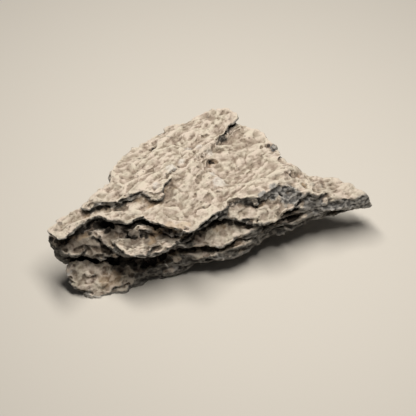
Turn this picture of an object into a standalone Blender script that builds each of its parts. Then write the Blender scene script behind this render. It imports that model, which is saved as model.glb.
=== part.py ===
"""Seiryu stone: one block of bedded limestone for an aquascape, lying on its broad sole.

The block is a pile of thin beds that split apart along their edges. Each bed is drawn as
an outline seen from above and given a floor, a thickness and a dip. The beds are grown
into one body, weathered, thinned to flat facets and cut off level where the stone rests.
X runs along the stone, Y from its broken front to its back, Z up.
"""

import math

import bmesh
import bpy
from mathutils import Matrix, Vector, noise

MM = 0.001

# Driving dimensions, in metres
SKIN_CELL = 0.7 * MM         # size of the cells that join the beds into one body
OUTLINE_STEP = 2.5 * MM      # spacing of the points along a bed's broken edge
EDGE_BREAK = 1.1 * MM        # how far a broken edge wanders from its drawn outline
EDGE_BREAK_LENGTH = 4 * MM   # length of one bay or spur of that edge
BED_ROLL = 1.6 * MM          # how far the beds rise and sink over the stone's length
BED_ROLL_LENGTH = 48 * MM
LUMP_HEIGHT = 0.8 * MM       # long swells on every face
LUMP_LENGTH = 9 * MM
LUMP_STRETCH = 3             # how many times as long as wide a swell is
CHIP_DEPTH = 1.6 * MM        # scoops where chips broke off the sides
CHIP_LENGTH = 7 * MM
CHIP_LEVEL = 0.45            # share of a chip's length where its scoop crosses the old face
RIB_DEPTH = 1.1 * MM         # thin beds weathered out of the sides
RIB_SPACING = 3.4 * MM
RIB_STRETCH = 5              # how many times as long as high a rib is
WELD = 0.01 * MM             # points closer than this are one point
CUT_REACH = 0.0001 * MM      # points this close to the floor lie on it
FACETS = 9600
SHARP_ANGLE = math.radians(35)

# Steps that keep one random pattern from repeating another
BED_SEED = 7 * MM
ROLL_SEED = Vector((3.1, 0.7, 5.2))
STONE_COLOUR = (0.36, 0.335, 0.30, 1.0)
STONE_ROUGHNESS = 0.85

# Each bed: its floor and top in millimetres at its hinge, the hinge (x, y), how far it rises
# for each millimetre along x and y, and its outline seen from above, front edge first.
BEDS = {
    "sole": (-2, 9, (0, 0), (0.03, 0), [
        (-61, -1), (-48, -5), (-36, -6), (-24, -5), (-12, -2), (2, 3), (16, 7), (30, 11),
        (38, 18), (37, 30), (26, 40), (8, 46), (-10, 46), (-26, 38), (-42, 28), (-54, 17),
        (-62, 8),
    ]),
    "foot": (-5, 1, (-50, -15), (0.08, 0.95), [
        (-67, 1), (-68, -3), (-65, -8), (-61, -12), (-56, -15), (-49, -15), (-41, -14),
        (-34, -13), (-28, -12), (-26, -9), (-33, -8), (-40, -6), (-46, -4), (-50, -2),
        (-55, -1), (-61, 1),
    ]),
    "foot_end": (0, 8.8, (-26, -13), (0.13, -0.05), [
        (-40, -11), (-34, -12), (-28, -13), (-21, -13), (-15, -14), (-9, -14), (-6, -8),
        (-12, 0), (-34, 0),
    ]),
    "core": (5, 34, (0, 0), (0, 0), [
        (-66, 9), (-62, 5), (-56, 5), (-50, 8), (-44, 7), (-36, 4), (-26, 3), (-14, 1),
        (0, -2), (12, 0), (22, 2), (32, 1), (40, -2), (45, 2), (44, 14), (42, 25),
        (34, 33), (22, 42), (6, 44), (-8, 41), (-20, 36), (-32, 26), (-42, 18), (-52, 14),
    ]),
    "back_foot": (4, 12, (0, 30), (0.05, -0.12), [
        (-44, 8), (40, 8), (50, 12), (46, 24), (37, 33), (31, 45), (18, 47), (9, 54),
        (-3, 53), (-10, 45), (-22, 44), (-27, 36), (-38, 31), (-46, 21), (-56, 15),
    ]),
    "back_shelf": (13.5, 19, (0, 30), (-0.03, -0.15), [
        (-50, 8), (46, 6), (53, 8), (50, 20), (44, 29), (40, 39), (27, 43), (20, 51),
        (6, 50), (-1, 46), (-14, 47), (-24, 39), (-33, 37), (-41, 26), (-52, 20), (-60, 12),
    ]),
    "back_ledge": (21, 25, (0, 30), (0.03, -0.1), [
        (-52, 9), (40, 6), (48, 8), (48, 18), (45, 27), (34, 35), (31, 42), (18, 45),
        (4, 49), (-6, 42), (-18, 42), (-28, 36), (-34, 28), (-46, 22), (-58, 14),
    ]),
    "upper_ledge": (27, 30.5, (0, 30), (-0.04, -0.06), [
        (-54, 10), (40, 6), (46, 10), (46, 22), (42, 31), (33, 39), (24, 48), (10, 46),
        (-4, 47), (-12, 42), (-25, 37), (-31, 27), (-43, 20), (-55, 15),
    ]),
    "base_band": (7.5, 13.5, (0, -20), (0.09, 0.12), [
        (-20, -8), (-18, -12), (-14, -15), (-8, -17), (-3, -19), (5, -20),
        (11, -21), (18, -20), (25, -19), (33, -17), (44, -17), (54, -16), (58, -8),
        (56, 4), (50, 12), (20, 14), (-10, 8), (-18, 2),
    ]),
    "left_neck": (10, 19, (-66, 2), (-0.1, 0.5), [
        (-70, 10), (-70, 6), (-68, 3), (-65, 2), (-61, 2), (-58, 6), (-60, 12), (-67, 11),
    ]),
    "left_bed": (17, 21.5, (-55, -2), (-0.02, 0.7), [
        (-73, 9), (-72, 5), (-69, 1), (-65, 0), (-59, -2), (-54, -4), (-49, -5), (-44, -6),
        (-39, -5), (-37, 2), (-44, 12), (-56, 13), (-67, 12),
    ]),
    "lower_lens": (16.5, 19.5, (5, -20), (0.02, 0.48), [
        (-19, -12), (-16, -15), (-11, -16), (-4, -17), (1, -18), (5, -20), (12, -19),
        (18, -20), (24, -20), (28, -18), (32, -13), (30, 2), (0, 2), (-14, -4),
    ]),
    "front_lens": (22.5, 25.4, (29, -20), (-0.02, 0.55), [
        (8, -9), (11, -11), (15, -14), (20, -16), (25, -19), (29, -21), (34, -18),
        (39, -17), (44, -16), (50, -12), (48, 0), (12, 0),
    ]),
    "boat_ledge": (22.4, 26.2, (-24, -19), (0.06, 0.05), [
        (-52, 6), (-50, 3), (-48, -2), (-45, -8), (-41, -13), (-36, -15), (-30, -18),
        (-24, -18), (-19, -18), (-13, -17), (-8, -15), (-2, -13), (3, -8), (2, 6),
        (-20, 12), (-44, 12),
    ]),
    "boat_lamina": (27.6, 29.2, (-30, -7), (0.08, 0.02), [
        (-44, 4), (-42, -1), (-38, -4), (-30, -7), (-25, -9), (-21, -10), (-17, -14),
        (-12, -17), (-6, -16), (0, -10), (-6, 4),
    ]),
    "tip_base": (13, 18, (60, -16), (0.04, 0.1), [
        (40, -15), (48, -16), (55, -16), (63, -17), (72, -18), (78, -20), (82, -20),
        (83, -18), (78, -13), (73, -7), (66, -2), (58, 4), (46, 10), (40, 0),
    ]),
    "tip": (17, 24.5, (64, -17), (-0.09, 0.08), [
        (46, -14), (50, -15), (56, -17), (64, -18), (70, -19), (75, -20), (80, -20),
        (83, -19), (80, -16), (76, -12), (73, -8), (70, -4), (62, -1), (55, 1), (50, 6),
        (40, 10), (38, -8),
    ]),
    "shoulder": (25, 35, (44, -5), (-0.46, 0), [
        (43, -8), (49, -12), (55, -15), (61, -16), (67, -16), (67, -7), (62, -2),
        (55, 1), (51, 8), (50, 18), (47, 25), (43, 24),
    ]),
    "broken_step": (25.5, 30, (40, -13), (-0.1, 0.72), [
        (29, -10), (33, -11), (38, -13), (43, -15), (48, -15), (52, -13), (51, -7),
        (45, -6), (36, -6), (30, -6),
    ]),
    "main_bed": (32.5, 35, (0, 0), (0, 0), [
        (-72, 6), (-70, 0), (-66, -2), (-62, 0), (-57, 4), (-52, 6), (-46, 5), (-42, 1),
        (-39, -2), (-35, -3), (-30, -3), (-25, -5), (-22, -9), (-18, -15), (-13, -18),
        (-6, -20), (1, -17), (8, -13), (16, -10), (23, -12), (29, -13), (35, -12), (40, -9),
        (44, -7), (45, -2), (45, 8), (46, 18), (45, 26), (42, 31), (40, 34), (36, 39),
        (30, 44), (20, 48), (6, 49), (-10, 45), (-24, 38), (-34, 27), (-44, 19),
        (-56, 14), (-66, 11),
    ]),
    "ramp_left": (33, 39.6, (2, 16), (0.11, 0.19), [
        (-21, 4), (-14, 0), (-6, -5), (2, -10), (9, -13), (7, -6), (4, 5), (2, 17),
        (-6, 16), (-16, 9),
    ]),
    "ramp_right": (31, 39.6, (2, 16), (-0.2, 0.125), [
        (9, -13), (15, -4), (21, 7), (27, 17), (32, 25), (25, 29), (19, 26), (10, 20),
        (2, 17), (4, 5), (7, -6),
    ]),
    "top_sheet": (36, 40, (0, 30), (0, 0), [
        (-52, 10), (-48, 11), (-44, 10), (-40, 7), (-36, 7), (-33, 8), (-28, 8),
        (-24, 8), (-20, 5), (-16, 4), (-13, 6), (-10, 10), (-4, 14), (2, 16), (10, 20),
        (19, 27), (25, 32), (30, 34), (37, 40), (34, 48), (27, 52), (19, 51), (4, 48),
        (-11, 44), (-22, 38), (-29, 34), (-32, 29), (-36, 22), (-44, 16),
    ]),
}


def clear_scene():
    for obj in list(bpy.data.objects):
        bpy.data.objects.remove(obj, do_unlink=True)


def broken_outline(points, seed):
    """The outline with points every few millimetres, each pushed off its line as a broken edge is."""
    found = []
    for index, start in enumerate(points):
        a = Vector(start) * MM
        b = Vector(points[(index + 1) % len(points)]) * MM
        steps = max(1, round((b - a).length / OUTLINE_STEP))
        across = Vector((b.y - a.y, a.x - b.x)).normalized()
        for step in range(steps):
            spot = a.lerp(b, step / steps)
            place = Vector((spot.x, spot.y, seed * BED_SEED)) / EDGE_BREAK_LENGTH
            push = noise.fractal(place, 0.8, 2.0, 3) * EDGE_BREAK
            found.append(spot + across * push)
    return found


def bed_mesh(name, floor, top, hinge, rise, outline, seed):
    """One bed: a flat outline given its thickness, then sheared to its slope about the hinge."""
    curve = bpy.data.curves.new(name, "CURVE")
    curve.dimensions = "2D"
    curve.fill_mode = "BOTH"
    curve.extrude = (top - floor) * MM / 2
    points = broken_outline(outline, seed)
    spline = curve.splines.new("POLY")
    spline.points.add(len(points) - 1)
    for spot, point in zip(points, spline.points):
        point.co = (spot.x, spot.y, 0, 1)
    spline.use_cyclic_u = True
    guide = bpy.data.objects.new(name, curve)
    bpy.context.scene.collection.objects.link(guide)
    slab = evaluated_mesh(guide)
    bpy.data.objects.remove(guide)
    slope = Matrix.Identity(4)
    slope[2][0], slope[2][1] = rise
    middle = (floor + top) / 2 - rise[0] * hinge[0] - rise[1] * hinge[1]
    slab.transform(Matrix.Translation((0, 0, middle * MM)) @ slope)
    return slab


def beds_as_mesh():
    """All the beds as one mesh of closed, overlapping slabs."""
    pile = bmesh.new()
    for seed, (name, bed) in enumerate(BEDS.items()):
        pile.from_mesh(bed_mesh(name, *bed, seed))
    bmesh.ops.remove_doubles(pile, verts=pile.verts, dist=WELD)
    bmesh.ops.recalc_face_normals(pile, faces=pile.faces)
    mesh = bpy.data.meshes.new("beds")
    pile.to_mesh(mesh)
    pile.free()
    return mesh


def evaluated_mesh(obj):
    graph = bpy.context.evaluated_depsgraph_get()
    graph.update()
    return bpy.data.meshes.new_from_object(obj.evaluated_get(graph))


def grown_together(obj):
    """Joins the slabs into one body with a skin of even cells."""
    skin = obj.modifiers.new("one_body", "REMESH")
    skin.mode = "VOXEL"
    skin.voxel_size = SKIN_CELL
    mesh = evaluated_mesh(obj)
    obj.modifiers.clear()
    obj.data = mesh


def weather(obj):
    """Rolls the beds, swells the faces into long lumps, and splits and chips the sides."""
    mesh = obj.data
    normals = [v.normal.copy() for v in mesh.vertices]
    for vertex, normal in zip(mesh.vertices, normals):
        place = vertex.co.copy()
        plan = Vector((place.x, place.y, 0))
        roll = noise.noise(plan / BED_ROLL_LENGTH + ROLL_SEED) * BED_ROLL
        stretched = Vector((place.x / LUMP_STRETCH, place.y, place.z)) / LUMP_LENGTH
        lump = noise.fractal(stretched, 0.9, 2.0, 3) * LUMP_HEIGHT
        layer = Vector((place.x / RIB_STRETCH, place.y / RIB_STRETCH, place.z)) / RIB_SPACING
        rib = noise.fractal(layer, 0.7, 2.0, 2) * RIB_DEPTH
        nearest_chip = noise.voronoi(place / CHIP_LENGTH)[0][0]
        chip = (nearest_chip - CHIP_LEVEL) * CHIP_DEPTH
        side = Vector((normal.x, normal.y, 0))
        vertex.co = place + Vector((0, 0, roll)) + normal * lump + side * (rib - chip)
    mesh.update()


def thin_facets(obj):
    """Thins the skin to flat facets, which keep the ledges and spend little on the flats."""
    thin = obj.modifiers.new("facets", "DECIMATE")
    thin.ratio = FACETS / sum(len(face.vertices) - 2 for face in obj.data.polygons)
    thin.use_collapse_triangulate = True
    mesh = evaluated_mesh(obj)
    obj.modifiers.clear()
    obj.data = mesh


def level_foot(obj):
    """Cuts the underside off level, and sets the origin on the floor under the stone's middle."""
    body = bmesh.new()
    body.from_mesh(obj.data)
    cut = bmesh.ops.bisect_plane(
        body,
        geom=body.verts[:] + body.edges[:] + body.faces[:],
        dist=CUT_REACH,
        plane_co=(0, 0, 0),
        plane_no=(0, 0, -1),
        clear_outer=True,
    )
    rim = [item for item in cut["geom_cut"] if isinstance(item, bmesh.types.BMEdge)]
    bmesh.ops.holes_fill(body, edges=rim, sides=0)
    bmesh.ops.triangulate(body, faces=[f for f in body.faces if len(f.verts) > 3])
    xs = [v.co.x for v in body.verts]
    ys = [v.co.y for v in body.verts]
    middle = Vector(((min(xs) + max(xs)) / 2, (min(ys) + max(ys)) / 2, 0))
    body.transform(Matrix.Translation(-middle))
    bmesh.ops.recalc_face_normals(body, faces=body.faces)
    body.to_mesh(obj.data)
    body.free()
    return middle


def stone_material():
    material = bpy.data.materials.new("stone")
    material.use_nodes = True
    shader = material.node_tree.nodes["Principled BSDF"]
    shader.inputs["Base Color"].default_value = STONE_COLOUR
    shader.inputs["Roughness"].default_value = STONE_ROUGHNESS
    shader.inputs["Metallic"].default_value = 0.0
    return material


def main():
    clear_scene()
    collection = bpy.data.collections.new("seiryu_stone")
    bpy.context.scene.collection.children.link(collection)
    stone = bpy.data.objects.new("stone", beds_as_mesh())
    collection.objects.link(stone)
    grown_together(stone)
    weather(stone)
    thin_facets(stone)
    middle = level_foot(stone)
    print("middle of the drawn beds, mm:", round(middle.x / MM, 3), round(middle.y / MM, 3))
    stone.data.materials.clear()
    stone.data.materials.append(stone_material())
    stone.data.shade_smooth()
    stone.data.set_sharp_from_angle(angle=SHARP_ANGLE)


main()
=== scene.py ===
# %% [markdown]
# # A seiryu stone
#
# Seiryu stone is a grey limestone laid down in thin beds. Water has eaten the softer beds
# back, so the block has a flat weathered top, a thin lip over a row of ledges, deep dark
# clefts between them, and a tip that stands clear of the ground. This notebook loads the
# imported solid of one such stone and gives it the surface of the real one.

import math

import bmesh
import bpy
import numpy as np
from mathutils import Matrix, Vector, noise
from mathutils.bvhtree import BVHTree


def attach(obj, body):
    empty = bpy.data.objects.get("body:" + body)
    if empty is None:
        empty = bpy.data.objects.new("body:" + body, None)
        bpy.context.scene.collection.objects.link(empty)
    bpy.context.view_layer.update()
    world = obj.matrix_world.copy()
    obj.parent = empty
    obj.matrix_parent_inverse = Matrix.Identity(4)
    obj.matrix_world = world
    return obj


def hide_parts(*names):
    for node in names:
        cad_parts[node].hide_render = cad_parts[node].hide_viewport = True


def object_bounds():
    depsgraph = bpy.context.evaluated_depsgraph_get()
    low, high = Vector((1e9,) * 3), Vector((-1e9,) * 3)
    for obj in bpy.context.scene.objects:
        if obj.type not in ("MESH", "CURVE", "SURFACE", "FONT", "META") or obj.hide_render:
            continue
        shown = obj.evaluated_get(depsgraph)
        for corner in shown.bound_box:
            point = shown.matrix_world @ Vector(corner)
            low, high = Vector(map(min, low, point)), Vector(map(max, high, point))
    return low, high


MM = 0.001
scene = bpy.context.scene


def in_scene(name, data):
    """A new object in the scene that holds the data."""
    thing = bpy.data.objects.new(name, data)
    scene.collection.objects.link(thing)
    return thing


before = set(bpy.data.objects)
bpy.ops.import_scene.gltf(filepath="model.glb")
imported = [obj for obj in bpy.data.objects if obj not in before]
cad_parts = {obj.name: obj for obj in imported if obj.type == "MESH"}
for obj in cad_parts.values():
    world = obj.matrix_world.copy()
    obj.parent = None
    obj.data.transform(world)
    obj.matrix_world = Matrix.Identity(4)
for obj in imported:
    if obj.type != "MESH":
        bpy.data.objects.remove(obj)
cad_low, cad_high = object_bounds()
packed_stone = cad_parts["stone"]
print("packed stone, mm:", [round((b - a) / MM, 1) for a, b in zip(cad_low, cad_high)])

# %% [markdown]
# ## Camera
#
# The camera stands where the photographer stood, about 45 degrees above the ground, and
# looks through a long lens so that the stone fills the frame. The photographed ground
# slopes, so over this level one the camera leans a little.

# %% Camera at the photograph's viewing angle
EYE = Vector((-128.8, -590.1, 621.8)) * MM
TARGET = Vector((2.1, -9.6, 18.0)) * MM
LEAN = math.radians(-6.98)
LENS_MM = 149.4
SENSOR_MM = 36.0


def camera_turn(eye, target, lean):
    """The rotation of a camera that looks from eye to target and leans."""
    look = (target - eye).normalized()
    level = look.cross(Vector((0, 0, 1))).normalized()
    right = level * math.cos(lean) + level.cross(look) * math.sin(lean)
    return Matrix((right, right.cross(look), -look)).transposed()


camera = in_scene("camera", bpy.data.cameras.new("camera"))
camera.data.sensor_width = SENSOR_MM
camera.data.lens = LENS_MM
camera.matrix_world = Matrix.Translation(EYE) @ camera_turn(EYE, TARGET, LEAN).to_4x4()
scene.camera = camera
print("camera is", round((TARGET - EYE).length, 3), "m from the stone")

# %% [markdown]
# ## Light
#
# One long lamp overhead lights the photograph: its shadows are soft along the stone, fairly
# crisp across it, and fall a little towards the viewer. A long narrow area light gives the
# same shadows, and a dim grey world fills the clefts a little, as a room does.

# %% Lamp and room light
LAMP_PLACE = Vector((35.0, 8.0, 440.0)) * MM
LAMP_SIZE = (420 * MM, 90 * MM)
LAMP_POWER = 2.24
LAMP_COLOUR = (1.0, 0.965, 0.91)
ROOM_LIGHT = (0.70, 0.72, 0.76, 1.0)
ROOM_STRENGTH = 0.05

lamp = in_scene("lamp", bpy.data.lights.new("lamp", "AREA"))
lamp.data.shape = "RECTANGLE"
lamp.data.size, lamp.data.size_y = LAMP_SIZE
lamp.data.energy = LAMP_POWER
lamp.data.color = LAMP_COLOUR
lamp.location = LAMP_PLACE
lamp.rotation_euler = (-LAMP_PLACE).to_track_quat("-Z", "Y").to_euler()

world = bpy.data.worlds.new("room")
world.use_nodes = True
air = world.node_tree.nodes["Background"].inputs
air["Color"].default_value = ROOM_LIGHT
air["Strength"].default_value = ROOM_STRENGTH
scene.world = world
scene.view_settings.view_transform = "Standard"
print("lamp:", LAMP_POWER, "W,", round(LAMP_PLACE.z / MM), "mm above the floor")

# %% [markdown]
# ## A copy to work on
#
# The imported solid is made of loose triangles. Its copy is welded, because a cut or a new
# skin needs a closed body.

# %% Welded copy
WELD = 0.001 * MM


def as_mesh(body, name):
    """A bmesh turned into a mesh."""
    mesh = bpy.data.meshes.new(name)
    body.to_mesh(mesh)
    body.free()
    return mesh


work = bmesh.new()
work.from_mesh(packed_stone.data)
bmesh.ops.remove_doubles(work, verts=work.verts, dist=WELD)
body = as_mesh(work, "welded")
print("welded copy:", len(body.vertices), "corners,", len(body.polygons), "faces")

# %% [markdown]
# ### Flat prisms
#
# Changes finer than the solid's beds are flat prisms, which are cut away or added. Their
# corners were drawn from a point under the main ledge, and the solid is centred on its box,
# so every drawn place is moved by the same amount.

# %% Prisms and modifiers
DRAWN_MIDDLE = Vector((5.347, 16.276, 0.0))


def drawn(x, y, z=0.0):
    """A point drawn in mm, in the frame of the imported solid."""
    return (Vector((x, y, z)) - DRAWN_MIDDLE) * MM


def add_prism(mesh, floor, thickness, corners):
    """Adds a flat body that stands on an outline; returns its corners."""
    foot = mesh.faces.new([mesh.verts.new(drawn(x, y, floor)) for x, y in corners])
    grown = bmesh.ops.extrude_face_region(mesh, geom=[foot], use_keep_orig=True)
    tops = [item for item in grown["geom"] if isinstance(item, bmesh.types.BMVert)]
    bmesh.ops.translate(mesh, verts=tops, vec=(0, 0, thickness * MM))
    prism = tops + list(foot.verts)
    faces = list({face for vertex in prism for face in vertex.link_faces})
    bmesh.ops.recalc_face_normals(mesh, faces=faces)
    return prism


def with_modifier(source, kind, **settings):
    """The mesh that a modifier makes of source, with the modifier gone."""
    holder = in_scene("holder", source)
    modifier = holder.modifiers.new("step", kind)
    for key, value in settings.items():
        setattr(modifier, key, value)
    graph = bpy.context.evaluated_depsgraph_get()
    graph.update()
    made = bpy.data.meshes.new_from_object(holder.evaluated_get(graph))
    bpy.data.objects.remove(holder)
    return made


# %% [markdown]
# ### The torn corner
#
# At the back right corner a piece of the top sheet broke off along a jagged line. One cut
# takes the piece away, and a second, lower one reaches in under the edge, which overhangs.

# %% Corner cuts
# floor, height, corners
CUTS = [
    (36.3, 9, [
        (24, 30), (38, 32), (42, 37), (38.2, 41.6), (33.1, 39.2), (29.9, 38.2),
        (27.4, 36.7), (26, 34.6), (23.6, 33),
    ]),
    (35.8, 2, [
        (27.5, 35.5), (32, 36), (38, 38), (39.5, 43.5), (35.5, 44), (31, 42), (28, 39.5),
    ]),
]

for floor_height, cut_height, corners in CUTS:
    shape = bmesh.new()
    add_prism(shape, floor_height, cut_height, corners)
    cutter = in_scene("cutter", as_mesh(shape, "cutter"))
    body = with_modifier(body, "BOOLEAN", object=cutter, operation="DIFFERENCE", solver="EXACT")
    bpy.data.objects.remove(cutter)
print("after the corner cuts:", len(body.polygons), "faces")

# %% [markdown]
# ### Thin sheets
#
# The real stone splits into sheets a millimetre thick. Each one here is a flat prism that
# is sheared to the slope of the bed it lies on.

# %% Thin sheets split off along the edges
# name: floor and thickness in mm, hinge (x, y), rise for each mm along x and y, corners
SHEETS = {
    "upper lamina": (30, 0.9, (-30, -5), (0.05, 0), [
        (-42, 5), (-40, 0), (-38, -1), (-35, -4), (-30, -5), (-24, -7), (-20, -8),
        (-16, -13), (-12, -16), (-8, -14), (-14, 2), (-30, 8),
    ]),
    "boat rim": (26.3, 1, (-24, -16), (0.06, 0.04), [
        (-47, -3), (-44, -8), (-41, -11), (-36, -14), (-30, -17), (-24, -17), (-18, -17),
        (-13, -16), (-9, -13), (-14, -12), (-20, -13), (-26, -13), (-32, -12),
        (-37, -10), (-41, -7), (-44, -3),
    ]),
    "boat keel": (23, 1, (-24, -17), (0.05, 0.05), [
        (-48, 4), (-47, -2), (-44, -9), (-39, -13), (-33, -16), (-27, -19), (-20, -19),
        (-13, -17), (-9, -14), (-12, 0), (-36, 6),
    ]),
    "lower shard": (17.4, 1, (-50, -2), (0.02, 0.2), [
        (-56, 6), (-54, -2), (-51, -4), (-47, -3), (-45, -6), (-42, -6), (-39, -3),
        (-40, 6),
    ]),
    "band sheet": (13.6, 1, (0, -18), (0.08, 0.12), [
        (-16, -4), (-14, -14), (-8, -17), (-1, -19), (6, -21), (13, -22), (18, -20),
        (16, -4),
    ]),
    "face sheet": (17, 1, (42, -17), (0, 0.15), [
        (26, -6), (31, -18), (38, -18), (45, -17), (52, -18), (57, -17), (54, -6),
    ]),
    "upper face sheet": (20.6, 0.9, (42, -16), (-0.04, 0.2), [
        (30, -6), (34, -16), (40, -17), (47, -16), (54, -17), (60, -17), (56, -6),
    ]),
    "tip sheet": (19.6, 0.9, (64, -18), (-0.04, 0.1), [
        (52, -8), (56, -18), (63, -19), (70, -20), (77, -20), (80, -19), (74, -12),
        (60, -6),
    ]),
    "second lip": (31, 0.9, (10, -12), (0.02, 0.15), [
        (-9, -6), (-7, -18), (0, -17), (7, -14), (14, -11), (20, -11), (27, -13),
        (33, -12), (32, -4),
    ]),
    "top skin": (39.2, 1, (-12, 20), (0, 0.03), [
        (-20, 7), (-15, 10), (-11, 12), (-6, 14), (-2, 17), (3, 18), (8, 24), (0, 34),
        (-14, 32), (-24, 20),
    ]),
    "back edge": (33, 1.8, (40, 30), (0, 0), [
        (30, 38), (38, 28), (44, 10), (47.4, 11), (47.3, 20.4), (46.4, 29.4), (44.6, 33),
        (42.7, 36.2), (40.3, 38.3), (37.1, 40.4), (30, 44),
    ]),
}


def add_sheet(mesh, floor, thickness, hinge, rise, corners):
    """A flat sheet sheared to its bed's slope, as a closed body of its own."""
    sheet = add_prism(mesh, floor, thickness, corners)
    slope = Matrix.Identity(4)
    slope[2][0], slope[2][1] = rise
    space = Matrix.Translation(-drawn(*hinge))
    bmesh.ops.transform(mesh, matrix=slope, space=space, verts=sheet)


pile = bmesh.new()
pile.from_mesh(body)
for sheet_facts in SHEETS.values():
    add_sheet(pile, *sheet_facts)
print("thin sheets added:", len(SHEETS))

# %% [markdown]
# ## One even skin
#
# Overlapping bodies have hidden faces inside, and the solid's facets are too coarse for
# fine relief. A voxel remesh mends both: it makes one skin of small even squares, which
# are well under a millimetre, since the thinnest sheets are one.

# %% Voxel skin
SKIN_CELL = 0.45 * MM

skin = with_modifier(as_mesh(pile, "pile"), "REMESH", mode="VOXEL", voxel_size=SKIN_CELL)
print("skin:", len(skin.vertices), "points")

# %% [markdown]
# ## Relief
#
# Each kind of relief below is one function, which gets the place and the outward direction
# of every point and says how far it moves outwards, or its whole move. The mesh is updated
# between them. The sheets are thin, and a point that moved too far would come out on the
# far side or close a cleft. So rays inwards and outwards first measure the room that each
# point has, and a round of reliefs takes at most half of it.

# %% Moving the skin
ROOM_REACH = 8 * MM
THINNEST = 0.9 * MM
LEAST_ROOM = 0.02 * MM
LIFT_OFF = 0.15 * MM


def skin_points(mesh):
    """The places and outward directions of a mesh's points, as two arrays."""
    places = np.empty(len(mesh.vertices) * 3, np.float32)
    outward = np.empty(len(mesh.vertices) * 3, np.float32)
    mesh.vertices.foreach_get("co", places)
    mesh.vertices.foreach_get("normal", outward)
    return places.reshape(-1, 3).astype(float), outward.reshape(-1, 3).astype(float)


def put_points(mesh, places):
    mesh.vertices.foreach_set("co", places.astype(np.float32).ravel())
    mesh.update()


def search_tree(mesh):
    """What finds the first face that a ray meets."""
    body = bmesh.new()
    body.from_mesh(mesh)
    tree = BVHTree.FromBMesh(body)
    body.free()
    return tree


def free_way(tree, places, ways, lift_off=LIFT_OFF):
    """How far each point is from the next face along its way."""
    free = np.full(len(places), ROOM_REACH)
    for index, (start, way) in enumerate(zip(places + ways * lift_off, ways)):
        far = tree.ray_cast(Vector(start), Vector(way), ROOM_REACH)[3]
        if far is not None:
            free[index] = far
    return free


def room_along(tree, places, ways):
    """How far each point may move before the stone gets too thin there."""
    return np.maximum(free_way(tree, places, ways) - THINNEST, 0) / 2


def shape_skin(mesh, reliefs):
    """Moves every point of a mesh as the relief functions say, one after another."""
    start, normal = skin_points(mesh)
    tree = search_tree(mesh)
    inner_room = room_along(tree, start, -normal)
    outer_room = room_along(tree, start, normal)
    for relief in reliefs:
        places, outward = skin_points(mesh)
        move = relief(places, outward)
        if move.ndim == 1:
            move = outward * move[:, None]
        put_points(mesh, places + move)
        print("relief:", relief.__name__)
    places = skin_points(mesh)[0]
    moved = np.einsum("ij,ij->i", places - start, normal)
    room = np.maximum(np.where(moved < 0, inner_room, outer_room), LEAST_ROOM)
    held = room * np.tanh(moved / room)
    put_points(mesh, places + normal * (held - moved)[:, None])
    print("held back by at most, mm:", round(np.abs(held - moved).max() / MM, 2))


# %% [markdown]
# ### Thin beds in the sides
#
# On the broken sides each thin bed stands out or falls back by its own amount. The height
# above the floor, bent with the beds, says which bed a point is in. Its edge wanders slowly
# and breaks at an angle every few millimetres, where the next block has another value. A
# narrow joint runs between each two beds.

# %% Beds and joints
# lengths and heights in mm
BED_THICKNESS = 1.7
ROLL_LENGTH, ROLL_HEIGHT = 48, 1.6
RIPPLE_LENGTH, RIPPLE_HEIGHT = 16, 0.8
UNEVEN_BEDS, UNEVEN_RUN = 0.35, 2.1
WANDER_LENGTH, BED_WANDER = 10, 0.9 * MM
BLOCK_LENGTH, BLOCK_STEP = 6.0, 0.7 * MM
JOINT_DEPTH = 0.45 * MM
# where a joint begins and is full, from a bed's middle (0) to its edge (1)
JOINT_EDGES = (0.62, 0.95)
# how much lower and finer each octave of a noise is
OCTAVE_FALL, OCTAVE_STEP = 0.9, 2.0
# what keeps the patterns of neighbouring cells, beds and axes apart
CELLS_APART, BEDS_APART, AXES_APART = 31.7, 5.7, 17.3


def smooth_step(low, high, value):
    """0 below low, 1 above high, and an even slope between."""
    share = np.clip((value - low) / (high - low), 0, 1)
    return share * share * (3 - 2 * share)


def noise_over(places, length, seed, octaves=3):
    """Soft noise from about -1 to 1, with lumps of some length in mm."""
    stretched = places / (np.array(length) * MM) + seed
    noises = [noise.fractal(point, OCTAVE_FALL, OCTAVE_STEP, octaves) for point in stretched]
    return np.array(noises)


def bed_height(places):
    """Height above the floor, counted in rolled beds."""
    roll = noise_over(places * (1, 1, 0), ROLL_LENGTH, 3.1, 1) * ROLL_HEIGHT
    ripple = noise_over(places, RIPPLE_LENGTH, 7.7, 2) * RIPPLE_HEIGHT
    height = (places[:, 2] / MM + roll + ripple) / BED_THICKNESS
    return height + UNEVEN_BEDS * np.sin(height * UNEVEN_RUN)


def steepness(outward):
    """0 where the stone faces up or down, 1 on its sides."""
    return smooth_step(0.2, 0.7, 1 - np.abs(outward[:, 2]))


def side_beds(places, outward):
    height = bed_height(places)
    bed = np.floor(height)
    joint = smooth_step(*JOINT_EDGES, np.abs(height - bed - 0.5) * 2)
    plan = places / MM
    plan[:, 2] = bed * BEDS_APART
    spots = plan / (WANDER_LENGTH, WANDER_LENGTH, 1)
    wander = np.array([noise.fractal(spot, OCTAVE_FALL, OCTAVE_STEP, 2) for spot in spots])
    nearest = [noise.voronoi(spot)[1][0] for spot in plan / (BLOCK_LENGTH, BLOCK_LENGTH, 1)]
    block = np.array([noise.cell(spot * CELLS_APART) for spot in nearest])
    move = wander * BED_WANDER + block * BLOCK_STEP - joint * JOINT_DEPTH
    return outward * (1, 1, 0) * (move * steepness(outward))[:, None]


# %% [markdown]
# ### Broken faces and sheets
#
# Limestone breaks with flat angular faces. A cloud of random points splits space into
# cells, and each cell gets a height and a tilt of its own, like the faces of a cut gem. The
# tops have lost thin sheets, whose edges run like the lines of a map. So a soft swell is
# cut into low terraces there, once in wide ones and once in fine ones.

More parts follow.
